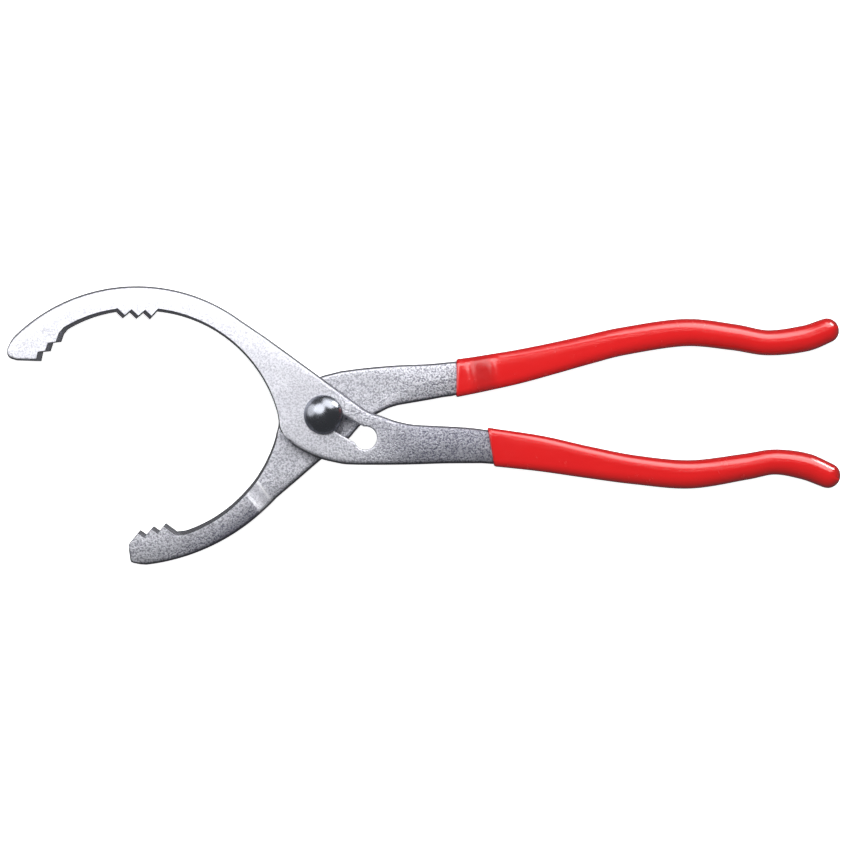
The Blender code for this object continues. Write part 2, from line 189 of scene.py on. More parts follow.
def climb(value, start, length):
    """0 up to start, rising evenly to 1 over this length, and 1 beyond."""
    return min(max((value - start) / length, 0.0), 1.0)


def left_of(direction):
    return Vector((-direction.y, direction.x))


def handle_path(stations, steps):
    """(middle point, direction along the handle, half width) at even steps along a grip."""
    smooth = curve_through(stations, steps)
    middles = [Vector((x, y)) for x, y, _ in smooth]
    path = []
    for index, middle in enumerate(middles):
        before = middles[max(index - 1, 0)]
        after = middles[min(index + 1, len(middles) - 1)]
        path.append((middle, (after - before).normalized(), smooth[index][2]))
    return path


def run_along(path):
    """The distance from the mouth to each step of a path."""
    distances = [0.0]
    for (start, _, _), (end, _, _) in zip(path, path[1:]):
        distances.append(distances[-1] + (end - start).length)
    return distances


def wall_at(distance):
    """The grip's wall thickness at this distance from its mouth."""
    return MOUTH_WALL + (GRIP_WALL - MOUTH_WALL) * min(distance / MOUTH_LENGTH, 1.0)


def tang_path(stations, steps):
    """(middle point, direction, half width) of the steel inside a grip."""
    path = handle_path(stations, steps)
    distances = run_along(path)
    end = distances[-1] - TANG_SHORT_OF_END
    tang = []
    for (middle, direction, half_width), distance in zip(path, distances):
        if distance <= end:
            tang.append((middle, direction, half_width - wall_at(distance) - GAP))
    return tang


def tang_outline(stations):
    """The steel inside a grip, counterclockwise: its right side, its round end and its left side."""
    clear_of_mouth = CURVE_STEPS * 2 // 3
    tang = tang_path(stations, CURVE_STEPS)[clear_of_mouth:]
    right = [middle - left_of(direction) * half for middle, direction, half in tang]
    left = [middle + left_of(direction) * half for middle, direction, half in tang]
    middle, direction, half = tang[-1]
    heading = math.degrees(math.atan2(direction.y, direction.x))
    end = arc(middle, half, heading - 90, heading + 90, 12)
    return right[:-1] + end + left[:-1][::-1]


def angle_on(circle, x, above):
    """The angle in degrees at which a jaw's circle has this x, on its upper or lower half."""
    centre, radius = circle
    angle = math.degrees(math.acos((x - centre.x) / radius))
    return angle if above else -angle


# ---- edge profiles --------------------------------------------------------------------------------------
# Each is nine (inset, depth) rows from a forging's flat face down to the trim line round its middle.

ROLL_STEPS = 6
WALL_DROP = 2.0
WALL_LIP = 0.08
WALL_LIP_STEPS = 4
TRIM_PROUD = 0.15
TRIM_START = 2.3
TRIM_LINE = 2.5


def rolled(radius):
    """A round forged edge, with the flash left from trimming standing a little proud at mid thickness."""
    rows = []
    for step in range(ROLL_STEPS + 1):
        angle = math.pi / 2 * step / ROLL_STEPS
        rows.append((radius * (1 - math.sin(angle)), radius * (1 - math.cos(angle))))
    return rows + [(0.0, TRIM_START), (-TRIM_PROUD, TRIM_LINE)]


def sloped(width):
    """A drafted wall, cut by milling, under a small round lip."""
    corner = Vector((width, 0.0))
    foot = Vector((0.0, WALL_DROP))
    start = corner + Vector((WALL_LIP, 0.0))
    end = corner + (foot - corner).normalized() * WALL_LIP
    rows = []
    for step in range(WALL_LIP_STEPS + 1):
        t = step / WALL_LIP_STEPS
        rows.append(tuple(start * (1 - t) ** 2 + corner * 2 * t * (1 - t) + end * t**2))
    return rows + [tuple((end + foot) / 2), tuple(foot), (0.0, TRIM_START), (0.0, TRIM_LINE)]


ROUNDED = rolled(1.3)
NOSE = rolled(0.9)
FORGED = (ROUNDED, NOSE)
TIP_WALL = sloped(1.7)
TOOTH_FRONT = sloped(1.5)
TOOTH_BACK = sloped(0.3)
HEEL_DRAFT = 0.45


def edge(points, profile):
    """A stretch of an outline: every point of it starts an edge of this profile."""
    return [(Vector(point), profile) for point in points]


def drafted(points, first, last):
    """A stretch of jaw wall whose draft widens or narrows evenly from its first point to its last."""
    count = len(points)
    widths = [first + (last - first) * index / (count - 1) for index in range(count)]
    return [(Vector(point), sloped(width)) for point, width in zip(points, widths)]


def teeth(foot, pitch, flank, count):
    """Teeth along a jaw: the foot of the first, the step from one to the next, and the way up a flank."""
    outline = []
    for number in range(count):
        start = Vector(foot) + number * Vector(pitch)
        outline += [(start, TOOTH_FRONT), (start + Vector(flank), TOOTH_BACK)]
    return outline


def front_outline():
    """The flat arm, counterclockwise from the end of its jaw."""
    tip_nose = curve_through(((-114.2, 26.3), (-115.4, 23.2), (-114.5, 20.9), (-111.8, 19.9)))
    tip_steps = [
        ((-103.0, 19.6), TIP_WALL), ((-102.3, 22.8), TOOTH_BACK), ((-99.6, 23.1), TIP_WALL),
        ((-98.6, 26.1), TOOTH_BACK), ((-95.7, 26.5), TIP_WALL), ((-94.7, 29.4), TOOTH_FRONT),
    ]
    heel = curve_through(
        ((-16.4, -2.0), (-15.9, -5.3), (-13.3, -9.2), (-8.0, -12.9), (-1.0, -16.0), (6.5, -17.8)))
    turn = 2 * CURVE_STEPS
    underside = curve_through(((8.5, -18.05), (15.0, -18.2), (30.0, -18.1), (44.0, -17.7), (57.6, -17.6)))
    handle_top = curve_through(
        ((56.6, -5.3), (50.0, -4.7), (38.1, -4.1), (32.3, -3.7), (26.4, -2.5), (20.6, -0.5), (17.2, 0.6)))
    shoulder = curve_through(((15.4, 1.4), (6.0, 8.2), (-3.0, 14.8), (-12.0, 21.4), (-21.5, 28.3)))
    return (
        edge(tip_nose, NOSE)
        + [(Vector(point), profile) for point, profile in tip_steps]
        + drafted(arc(*FRONT_TIP_ARC, 121.0, 98.6, 24), 1.3, 1.1)
        + teeth((-75.7, 37.4), (4.95, -0.2), (2.4, -2.3), 3)
        + drafted(arc(*FRONT_INNER, angle_on(FRONT_INNER, -60.8, True), 15.6, 64), 1.1, HEEL_DRAFT)
        + drafted(heel[:turn], HEEL_DRAFT, HEEL_DRAFT)
        + edge(heel[turn:], ROUNDED)
        + edge(underside, ROUNDED)
        + edge(tang_outline(FRONT_HANDLE), ROUNDED)
        + edge(handle_top, ROUNDED)
        + edge(shoulder, ROUNDED)
        + edge(arc(*FRONT_OUTER, 53.6, 136.0, 78)[:-1], ROUNDED)
    )


def rear_outline():
    """The joggled arm, counterclockwise from the end of its jaw, as it lies before its joggles are bent."""
    end_face = (
        (-71.0, -47.3), (-70.8, -49.5), (-70.5, -51.7), (-70.35, -52.9), (-70.05, -53.6), (-69.2, -54.0),
    )
    lower_shoulder = curve_through(((-15.9, -28.9), (-10.5, -24.4), (-1.2, -16.4), (3.6, -12.9)))
    neck = curve_through(((9.4, -8.3), (12.6, -4.5), (15.8, -1.6), (20.6, 1.0), (23.6, 2.5), (27.0, 3.6)))
    handle_bottom = curve_through(((32.3, 4.5), (38.1, 5.5), (43.5, 6.5), (46.6, 6.9)))
    handle_top = curve_through(((46.6, 19.2), (38.1, 18.4), (26.4, 17.9), (14.8, 16.9), (6.2, 15.8)))
    boss = curve_through(((-0.5, 14.1), (-8.0, 10.2), (-13.2, 4.6), (-15.9, -1.0), (-16.8, -5.4)))
    jaw_arc = arc(*REAR_INNER, -14.5, angle_on(REAR_INNER, -50.2, False), 48)
    first_tooth = [(Vector((-53.4, -42.6)), TOOTH_FRONT), (Vector((-57.5, -39.6)), TOOTH_BACK)]
    return (
        edge(end_face, NOSE)
        + edge([(-66.6, -54.5)], ROUNDED)
        + edge(arc(*REAR_OUTER, angle_on(REAR_OUTER, -64.5, False), -42.2, 52), ROUNDED)
        + edge(lower_shoulder[CURVE_STEPS:], ROUNDED)
        + edge(neck, ROUNDED)
        + edge(handle_bottom, ROUNDED)
        + edge(tang_outline(REAR_HANDLE), ROUNDED)
        + edge(handle_top, ROUNDED)
        + edge(boss[:-1], ROUNDED)
        + drafted(jaw_arc, 0.75, 1.6)
        + first_tooth
        + teeth((-59.7, -42.3), (-4.9, -1.4), (-2.2, 1.6), 2)
    )


# ---- forgings -------------------------------------------------------------------------------------------

def ramp(u, start, end, crease):
    """How far up a joggle a place along the arm is, from 0 to 1, with round creases."""
    def bent(distance):
        if distance <= -crease:
            return 0.0
        if distance >= crease:
            return distance
        return (distance + crease) ** 2 / (4 * crease)
    return (bent(u - start) - bent(u - end)) / (end - start)


def rise(x, y, crease):
    """How far a joggle lifts the rear arm or its grip here."""
    height = 0.0
    for heading, start, end in (JAW_JOGGLE, HANDLE_JOGGLE):
        u = x * math.cos(heading) + y * math.sin(heading)
        height += STEP * ramp(u, start, end, crease)
    return height


def crease_lines():
    """(direction, distance) of the lines across the rear arm along which its mesh needs points."""
    lines = []
    for heading, start, end in (JAW_JOGGLE, HANDLE_JOGGLE):
        along = Vector((math.cos(heading), math.sin(heading)))
        for crease in (start, end):
            for part in (-1.0, -0.5, 0.0, 0.5, 1.0):
                lines.append((along, crease + part * STEEL_CREASE))
    return lines


def split_at_lines(outline, lines):
    """The outline with a point wherever it crosses one of the lines, unless one is close by already."""
    too_close = 0.08
    split = []
    for index, (point, profile) in enumerate(outline):
        after = outline[(index + 1) % len(outline)][0]
        split.append((point, profile))
        cuts = []
        for along, distance in lines:
            near = point.dot(along) - distance
            far = after.dot(along) - distance
            if near * far < 0:
                cuts.append(near / (near - far))
        for t in sorted(cuts):
            if too_close < t < 1 - too_close:
                split.append((point.lerp(after, t), profile))
    return split


def inset_corner(before, corner, after, width_before, width_after):
    """Where two edges meet once each has moved into the material by its own width."""
    nearly_straight = 0.25
    inward_before = left_of((corner - before).normalized())
    inward_after = left_of((after - corner).normalized())
    turn = inward_before.cross(inward_after)
    if abs(turn) < nearly_straight:
        middle = (inward_before + inward_after).normalized()
        return corner + middle * (width_before + width_after) / 2
    along_x = (width_before * inward_after.y - width_after * inward_before.y) / turn
    along_y = (width_after * inward_before.x - width_before * inward_after.x) / turn
    return corner + Vector((along_x, along_y))


def edge_rings(outline):
    """For each row of the profile, the (x, y, depth) of its points round the arm."""
    count = len(outline)
    rings = []
    for row in range(len(ROUNDED)):
        ring = []
        for index, (corner, profile) in enumerate(outline):
            before, profile_before = outline[index - 1]
            after, _ = outline[(index + 1) % count]
            point = inset_corner(before, corner, after, profile_before[row][0], profile[row][0])
            depth = (profile_before[row][1] + profile[row][1]) / 2
            ring.append((point.x, point.y, depth))
        rings.append(ring)
    return rings


def hole_outline(radius, waist, pitch):
    """A round hole, or with a pitch two round seats joined by a waist, turned to the slot's direction."""
    if pitch:
        opening = math.degrees(math.asin(waist / 2 / radius))
        points = arc(Vector((pitch, 0)), radius, -180 + opening, 180 - opening, SEAT_STEPS)
        points += arc(Vector((0, 0)), radius, opening, 360 - opening, SEAT_STEPS)
    else:
        points = arc(Vector((0, 0)), radius, 0, 360, HOLE_STEPS)[:-1]
    cosine = math.cos(SLIP_ANGLE)
    sine = math.sin(SLIP_ANGLE)
    return [(x * cosine - y * sine, x * sine + y * cosine) for x, y in points]


def hole_rings(pitch):
    """For each row of a hole's rolled rim, the (x, y, depth) of its points."""
    rings = []
    for flare, depth in ((0.62, 0.0), (0.36, 0.07), (0.15, 0.24), (0.03, 0.5), (0.0, 0.8)):
        outline = hole_outline(SEAT_RADIUS + flare, WAIST + 2 * flare, pitch)
        rings.append([(x, y, depth) for x, y in outline])
    return rings


def distance_to_path(points, starts, ends):
    """The distance from each point to the nearest of the segments."""
    best = np.full(len(points), np.inf)
    for start, end in zip(starts, ends):
        span = end - start
        length = max(float(span @ span), 1e-12)
        t = np.clip(((points - start) @ span) / length, 0.0, 1.0)
        gap = points - (start + t[:, None] * span)
        best = np.minimum(best, np.hypot(gap[:, 0], gap[:, 1]))
    return best


def inside(points, loop):
    """Which points lie inside a closed loop."""
    odd = np.zeros(len(points), bool)
    x, y = points[:, 0], points[:, 1]
    for (x1, y1), (x2, y2) in zip(loop, np.roll(loop, -1, axis=0)):
        if y1 == y2:
            continue
        crosses = (y1 > y) != (y2 > y)
        odd ^= crosses & (x < (x2 - x1) * (y - y1) / (y2 - y1) + x1)
    return odd


def face_points(loop, holes, lines):
    """Points spread over a face, clear of its rim and holes, with extra rows along the joggles' creases."""
    clear_of_rim = 0.6
    clear_of_line = GRID_STEP * 0.35
    line_reach = 40.0
    low = loop.min(axis=0)
    high = loop.max(axis=0)
    rows = []
    row_step = GRID_STEP * math.sqrt(3) / 2
    for row in range(int((high[1] - low[1]) / row_step) + 1):
        xs = np.arange(low[0] + GRID_STEP / 2 * (row % 2), high[0], GRID_STEP)
        rows.append(np.column_stack([xs, np.full(len(xs), low[1] + row * row_step)]))
    grid = np.concatenate(rows)
    keep = np.ones(len(grid), bool)
    extra = []
    for along, distance in lines:
        direction = np.array(along)
        keep &= np.abs(grid @ direction - distance) > clear_of_line
        across = np.array((-direction[1], direction[0]))
        steps = np.arange(-line_reach, line_reach, GRID_STEP)
        extra.append(direction * distance + steps[:, None] * across)
    points = np.concatenate([grid[keep], *extra])
    points = points[inside(points, loop)]
    for hole in holes:
        points = points[~inside(points, hole)]
    for rim in (loop, *holes):
        points = points[distance_to_path(points, rim, np.roll(rim, -1, axis=0)) > clear_of_rim]
    return points


def fill_face(bm, rim, holes, extra, height, upward):
    """Triangles between a rim and its holes, through the extra points."""
    weld = 1e-5
    loops = [rim, *holes]
    verts = [vertex for loop in loops for vertex in loop]
    coords = [Vector((vertex.co.x, vertex.co.y)) for vertex in verts]
    edges = []
    base = 0
    for loop in loops:
        edges += [(base + i, base + (i + 1) % len(loop)) for i in range(len(loop))]
        base += len(loop)
    for x, y in extra:
        coords.append(Vector((x, y)))
        verts.append(bm.verts.new((x, y, height)))
    _, _, faces, sources, _, _ = delaunay_2d_cdt(coords, edges, [], 0, weld)
    polygons = [np.array([(v.co.x, v.co.y) for v in loop]) for loop in loops]
    flat = np.array([tuple(point) for point in coords])
    triangles = [[sources[i][0] for i in face] for face in faces]
    centres = flat[np.array(triangles)].mean(axis=1)
    keep = inside(centres, polygons[0])
    for polygon in polygons[1:]:
        keep &= ~inside(centres, polygon)
    for triangle, kept in zip(triangles, keep):
        if kept:
            corners = [verts[i] for i in triangle]
            bm.faces.new(corners if upward else corners[::-1])


def band(bm, near, far):
    """Quads between two rings of the same length."""
    for index in range(len(near)):
        after = (index + 1) % len(near)
        bm.faces.new((near[index], near[after], far[after], far[index]))


def swelling(x, y, level):
    """The unevenness of a forged face: broad swells with smaller ones on them."""
    swell_length, finer = 9.0, 4.1
    place = Vector((x, y, level)) / swell_length
    return 0.05 * noise.noise(place) + 0.02 * noise.noise(place * finer)


def rear_paint_and_grain(x, y, from_pivot, to_outer_edge):
    """(painted shade, dull, painted highlight) of the rear arm: highlights on the joggle, shade beyond it.
    """
    heading, first, last = JAW_JOGGLE
    along = x * math.cos(heading) + y * math.sin(heading)
    # Painted highlights: a bright line at each crease of the jaw's joggle, and a fainter band over its
    # ramp.
    at_first = 0.9 - abs(along - first) / 0.7
    at_last = 0.4 - abs(along - last) / 0.9
    on_ramp = 0.25 if first < along < last else 0.0
    # Painted shade within a few millimetres of the jaw's rolled edges, from past the joggle towards the
    # jaw's end.
    jaw_end, shade_width = 80.0, 6.0
    beyond = climb(along, last, 1.2) * climb(-along, -jaw_end, 24.0)
    shaded = beyond * max(1 - to_outer_edge / shade_width, 0.0)
    at_joint, on_jaw, on_handle = 0.35, 0.2, 0.5
    dull = at_joint + (on_jaw if x < 0 else on_handle) * climb(from_pivot, 16.0, 30.0)
    # The grain is also coarser where the shade is painted.
    return 1.7 * shaded, dull + 0.9 * shaded, max(at_first, at_last, on_ramp)


def front_paint_and_grain(x):
    """(painted shade, dull, painted highlight) of the front arm: the painted shade deepens past the joint
    towards the grip, the grain grows coarser from the jaw towards the grip, and there is no highlight.
    """
    return climb(x, 9.0, 26.0), climb(x, -8.0, 45.0), 0.0


def forging(name, outline, level, pitch, lines, bearing_face, jaw_crown):
    """A forged arm: rolled and drafted edges, crowned faces, a rimmed hole and, for the rear arm, joggles.

    Its vertices carry what plated_steel reads: rim (near an edge), the milled walls of a jaw, which are
    also painted in shade, painted shade on the sides of the rolled edges, painted shade on the faces, dull
    (how coarse the grain is, coarser still in the painted shade) and painted highlights at the joggle's
    creases.
    """
    bm = bmesh.new()
    rings = edge_rings(outline)
    holes = hole_rings(pitch)
    rims = {}
    row_of = {}
    for side in (1, -1):
        face = side * PLATE / 2
        placed, bored = (
            [[bm.verts.new((x, y, face - side * depth)) for x, y, depth in ring] for ring in each]
            for each in (rings, holes)
        )
        bm.verts.index_update()
        for row, ring in enumerate(placed):
            row_of.update((vertex.index, row) for vertex in ring)
        for near, far in zip(placed, placed[1:]):
            band(bm, near, far)
        for near, far in zip(bored, bored[1:]):
            band(bm, far, near)
        loop = np.array([(x, y) for x, y, _ in rings[0]])
        hole = np.array([(x, y) for x, y, _ in holes[0]])
        spread = face_points(loop, [hole], lines)
        fill_face(bm, placed[0], [bored[0]], spread, face, side > 0)
        rims[side] = (placed[-1], bored[-1])
    band(bm, rims[1][0], rims[-1][0])
    band(bm, rims[1][1], rims[-1][1])

    bm.verts.ensure_lookup_table()
    flat = np.array([(v.co.x, v.co.y) for v in bm.verts])
    corners = np.array([tuple(point) for point, _ in outline])
    follow = np.roll(corners, -1, axis=0)
    soft = np.array([profile is ROUNDED for _, profile in outline])
    cut = np.array([not any(profile is each for each in FORGED) for _, profile in outline])
    to_soft = distance_to_path(flat, corners[soft], follow[soft])
    to_cut = distance_to_path(flat, corners[cut], follow[cut])
    to_edge = distance_to_path(flat, corners, follow)
    to_hole = distance_to_path(flat, hole, np.roll(hole, -1, axis=0))
    from_pivot = np.hypot(flat[:, 0], flat[:, 1])
    rim, milled_and_shaded, edge_shade, painted_shade, dull, crease_highlight = (
        bm.verts.layers.float.new(layer)
        for layer in ("rim", "milled_and_shaded", "edge_shade", "painted_shade", "dull", "crease_highlight")
    )
    rim_width, wall_reach, first_wall_row = 1.6, 2.1, 2
    for index, vertex in enumerate(bm.verts):
        x, y, z = vertex.co
        share = z / (PLATE / 2)
        fuller = 1 + (jaw_crown * climb(-x, 15.0, 12.0) + HANDLE_CROWN * climb(x, 22.0, 12.0))
        crown = CROWN_HEIGHT * fuller * max(1 - to_soft[index] / (CROWN_WIDTH * fuller), 0.0) ** 2
        away = climb(from_pivot[index], JOINT_RADIUS, 10.0)
        if share * bearing_face > 0:
            crown *= away
        else:
            crown *= OUTER_FACE_CROWN + (1 - OUTER_FACE_CROWN) * away
        z -= share * (crown + FACE_SINK - swelling(x, y, level))
        height = rise(x, y, STEEL_CREASE) if lines else 0.0
        vertex.co = Vector((x, y, level + z + height)) * MM
        row = row_of.get(index, 0)
        vertex[rim] = max(1 - min(to_edge[index], to_hole[index]) / rim_width, 0.0)
        # A jaw's milled walls, which the material makes smoother and also paints in shade.
        vertex[milled_and_shaded] = 1.0 if row >= first_wall_row and to_cut[index] < wall_reach else 0.0
        # Painted shade on the rolled edges from about half way round them down to the flash line, but not
        # on a jaw's walls.
        vertex[edge_shade] = climb(row, 1.5, 1.5) * (1 - vertex[milled_and_shaded])
        paint_and_grain = rear_paint_and_grain(x, y, from_pivot[index], to_soft[index]) if lines else front_paint_and_grain(x)
        vertex[painted_shade], vertex[dull], vertex[crease_highlight] = paint_and_grain
    return finished(bm, name, sharp_degrees=42)


def finished(bm, name, sharp_degrees):
    """The mesh, smooth but for edges that turn by more than this angle."""
    bmesh.ops.recalc_face_normals(bm, faces=bm.faces)
    mesh = bpy.data.meshes.new(name)
    bm.to_mesh(mesh)
    bm.free()
    mesh.shade_smooth()
    mesh.set_sharp_from_angle(angle=math.radians(sharp_degrees))
    return mesh


# ---- grips ----------------------------------------------------------------------------------------------

def soft_section(half_width, half_thickness, corner):
    """(across, up) points of a rectangle with round corners and faintly domed faces, counterclockwise."""
    corner = min(corner, half_width, half_thickness)
    points = []
    for quarter, (side, up) in enumerate(((1, 1), (-1, 1), (-1, -1), (1, -1))):
        centre = Vector((side * (half_width - corner), up * (half_thickness - corner)))
        points += arc(centre, corner, 90 * quarter, 90 * quarter + 90, CORNER_STEPS)
    section = []
    for index, point in enumerate(points):
        after = points[(index + 1) % len(points)]
        section.append(point)
        if index % (CORNER_STEPS + 1) == CORNER_STEPS:
            section += [point.lerp(after, part) for part in (0.25, 0.5, 0.75)]
    return [(across, up * (1 - FACE_DOME * (across / half_width) ** 2)) for across, up in section]


def section_ring(bm, middle, direction, section, level):
    """The points of a section that stands across this direction."""
    side = left_of(direction)
    ring = []
    for across, up in section:
        point = middle + side * across
        ring.append(bm.verts.new((point.x, point.y, level + up)))
    return ring


def grip(name, stations, level, mouth_lean, bent):
    """A dipped vinyl sleeve with a thin lip at its mouth, closed round the steel and solid at its end."""
    path = handle_path(stations, GRIP_STEPS)
    distances = run_along(path)
    tang = tang_path(stations, GRIP_STEPS)
    bm = bmesh.new()
    outer = []
    inner = []
    for index, (middle, direction, half_width) in enumerate(path):
        past_mouth = min(distances[index] / MOUTH_LENGTH, 1.0)
        opening = past_mouth * past_mouth * (3 - 2 * past_mouth)
        lean = mouth_lean * (1.0 - past_mouth)
        heading = math.atan2(direction.y, direction.x) + lean
        across = Vector((math.cos(heading), math.sin(heading)))
        half_width = half_width / math.cos(lean)
        thickness = MOUTH_HALF_THICKNESS + (GRIP_HALF_THICKNESS - MOUTH_HALF_THICKNESS) * opening
        corner = BOXY_CORNER + (GRIP_HALF_THICKNESS - BOXY_CORNER) * distances[index] / distances[-1]
        half_hole = half_width - wall_at(distances[index]) - GAP + HOLLOW_SLACK[0]
        hole = soft_section(half_hole, PLATE / 2 + HOLLOW_SLACK[1], HOLLOW_CORNER)
        full = soft_section(half_width, thickness, corner)
        if index == 0:
            for step in range(LIP_STEPS):
                angle = math.pi / 2 * step / LIP_STEPS
                along = direction * LIP * (1 - math.cos(angle))
                share = math.sin(angle)
                section = [
                    (a + (c - a) * share, b + (d - b) * share) for (a, b), (c, d) in zip(hole, full)
                ]
                outer.append(section_ring(bm, middle + along, across, section, level))
        if distances[index] > LIP * 1.05:
            outer.append(section_ring(bm, middle, across, full, level))
            if index < len(tang) and index % 2 == 0:
                inner.append(section_ring(bm, middle, across, hole, level))
    middle, direction, half_width = path[-1]
    for degrees in (10, 20, 30, 40, 50, 60, 69, 77, 84, 88):
        shrink = math.cos(math.radians(degrees))
        centre = middle + direction * half_width * math.sin(math.radians(degrees))
        section = soft_section(half_width * shrink, GRIP_HALF_THICKNESS * shrink, GRIP_HALF_THICKNESS)
        outer.append(section_ring(bm, centre, direction, section, level))
    tang_end, direction, half_tang = tang[-1]
    hole = soft_section(half_tang + GAP, PLATE / 2 + GAP, HOLLOW_CORNER)
    inner.append(section_ring(bm, tang_end + direction * (half_tang + GAP), direction, hole, level))
    rings = inner[::-1] + outer
    for near, far in zip(rings, rings[1:]):
        band(bm, near, far)
    bm.faces.new(rings[0][::-1])
    bm.faces.new(rings[-1])
    for vertex in bm.verts:
        x, y, z = vertex.co
        height = rise(x, y, VINYL_CREASE) if bent else 0.0
        vertex.co = Vector((x, y, z + height)) * MM
    return finished(bm, name, sharp_degrees=75)


# ---- bolt and nut ---------------------------------------------------------------------------------------

def turned_ring(bm, radius_at, height):
    """A ring of points round the pivot axis, whose radius depends on the angle."""
    ring = []
    for step in range(ROUND_STEPS):
        angle = 2 * math.pi * step / ROUND_STEPS
        radius = radius_at(angle) * MM
        ring.append(bm.verts.new((radius * math.cos(angle), radius * math.sin(angle), height * MM)))
    return ring


def thread_radius(angle, height, crest):
    """A right-hand thread's radius at this angle and height, and never less than its root."""
    half_groove = 0.42
    turn = (height / THREAD_PITCH - angle / (2 * math.pi)) % 1.0
    groove = max(1 - abs(turn - 0.5) / half_groove, 0.0)
    return max(crest - THREAD_DEPTH * groove, THREAD_ROOT)


def bolt(name):
    """A dome head, a shank with two flats where it runs in the slot, and a threaded end."""
    bm = bmesh.new()
    shoulder = REAR_LEVEL + PLATE / 2
    half_step = 0.05
    rings = [turned_ring(bm, lambda angle: radius, height) for radius, height in THREAD_END]
    thread_start, end_chamfer, chamfer_slope = 0.02, 0.75, 1.1
    for step in range(THREAD_STEPS + 1):
        height = thread_start + (NUT_TOP - thread_start) * step / THREAD_STEPS
        crest = min(BOLT_RADIUS, BOLT_RADIUS - end_chamfer + height * chamfer_slope)
        rings.append(turned_ring(bm, lambda angle: thread_radius(angle, height, crest), height))
    for height in (NUT_TOP + 0.25, shoulder - half_step):
        rings.append(turned_ring(bm, lambda angle: BOLT_RADIUS, height))

    def flatted(angle):
        from_flat = abs(math.sin(angle - SLIP_ANGLE))
        return min(BOLT_RADIUS, FLATS / 2 / max(from_flat, 1e-6))

    for height in (shoulder + half_step, HEAD_LEVEL):
        rings.append(turned_ring(bm, flatted, height))
    for inset, height in HEAD_EDGE:
        rings.append(turned_ring(bm, lambda angle: HEAD_RADIUS - inset, HEAD_LEVEL + height))
    cap_height = BOLT_TOP - HEAD_LEVEL - HEAD_RIM
    dome_radius = (HEAD_RADIUS**2 + cap_height**2) / (2 * cap_height)
    widest = math.asin(HEAD_RADIUS / dome_radius)
    for step in range(DOME_STEPS):
        angle = widest * (1 - step / DOME_STEPS)
        drop = dome_radius * (1 - math.cos(angle))
        rings.append(turned_ring(bm, lambda _: dome_radius * math.sin(angle), BOLT_TOP - drop))
    for near, far in zip(rings, rings[1:]):
        band(bm, near, far)
    bm.faces.new(rings[0][::-1])
    bm.faces.new(rings[-1])
    return finished(bm, name, sharp_degrees=35)


def nut(name):
    """A hexagon with its corners turned off at both faces, on the bolt's thread."""
    flat_distance = NUT_ACROSS_FLATS / 2
    corner_radius = NUT_ACROSS_FLATS / math.sqrt(3)
    bm = bmesh.new()

    def hexagon(limit):
        def radius_at(angle):
            from_flat = (angle + math.pi / 6) % (math.pi / 3) - math.pi / 6
            return min(flat_distance / math.cos(from_flat), limit)
        return radius_at

    outer_rows = (
        (NUT_BOTTOM, flat_distance * 0.94), (NUT_BOTTOM + 0.12, flat_distance * 0.98),
        (NUT_BOTTOM + NUT_CHAMFER, corner_radius), (NUT_TOP - NUT_CHAMFER, corner_radius),
        (NUT_TOP - 0.12, flat_distance * 0.98), (NUT_TOP, flat_distance * 0.94),
    )
    mouth = BOLT_RADIUS + 0.35
    bore = BOLT_RADIUS + 0.04
    inner_rows = (
        (NUT_TOP, mouth), (NUT_TOP - BORE_CHAMFER, bore), (NUT_BOTTOM + BORE_CHAMFER, bore),
        (NUT_BOTTOM, mouth),
    )
    rings = [turned_ring(bm, hexagon(limit), height) for height, limit in outer_rows]
    for height, radius in inner_rows:
        rings.append(turned_ring(bm, lambda angle: radius, height))
    for near, far in zip(rings, rings[1:] + rings[:1]):
        band(bm, near, far)
    return finished(bm, name, sharp_degrees=25)


# ---- materials ------------------------------------------------------------------------------------------

def new_material(name):
    """(material, node tree, shader) of a new material."""
    material = bpy.data.materials.new(name)
    material.use_nodes = True
    tree = material.node_tree
    return material, tree, tree.nodes["Principled BSDF"]


def add_node(tree, kind, settings=None, **inputs):
    """A node with settings on itself, and its inputs, by name or by number as in i0, set or linked."""
    node = tree.nodes.new(kind)
    for key, value in (settings or {}).items():
        setattr(node, key, value)
    for key, value in inputs.items():
        numbered = key[0] == "i" and key[1:].isdigit()
        socket = node.inputs[int(key[1:]) if numbered else key]
        if isinstance(value, bpy.types.NodeSocket):
            tree.links.new(value, socket)
        else:
            socket.default_value = value
    return node


def object_coords(tree):
    return add_node(tree, "ShaderNodeTexCoord").outputs["Object"]


def attribute(tree, name):
    return add_node(tree, "ShaderNodeAttribute", {"attribute_name": name}).outputs["Fac"]


def noise_of(tree, coords, scale, detail, roughness):
    node = add_node(
        tree, "ShaderNodeTexNoise", Vector=coords, Scale=scale, Detail=detail, Roughness=roughness)
    return node.outputs["Fac"]


def remap(tree, value, low, high, to_low, to_high):
    node = add_node(tree, "ShaderNodeMapRange", i0=value, i1=low, i2=high, i3=to_low, i4=to_high)
    return node.outputs[0]


def math_of(tree, operation, first, second):
    node = add_node(tree, "ShaderNodeMath", {"operation": operation}, i0=first, i1=second)
    return node.outputs[0]


def product(tree, first, second):
    return math_of(tree, "MULTIPLY", first, second)


def mix_colour(tree, share, first, second):
    node = add_node(tree, "ShaderNodeMix", {"data_type": "RGBA"}, i0=share, i6=first, i7=second)
    return node.outputs[2]


def bump_of(tree, height, distance, strength, normal=None):
    node = add_node(tree, "ShaderNodeBump", Height=height, Distance=distance, Strength=strength)
    if normal is not None:
        tree.links.new(normal, node.inputs["Normal"])
    return node.outputs["Normal"]


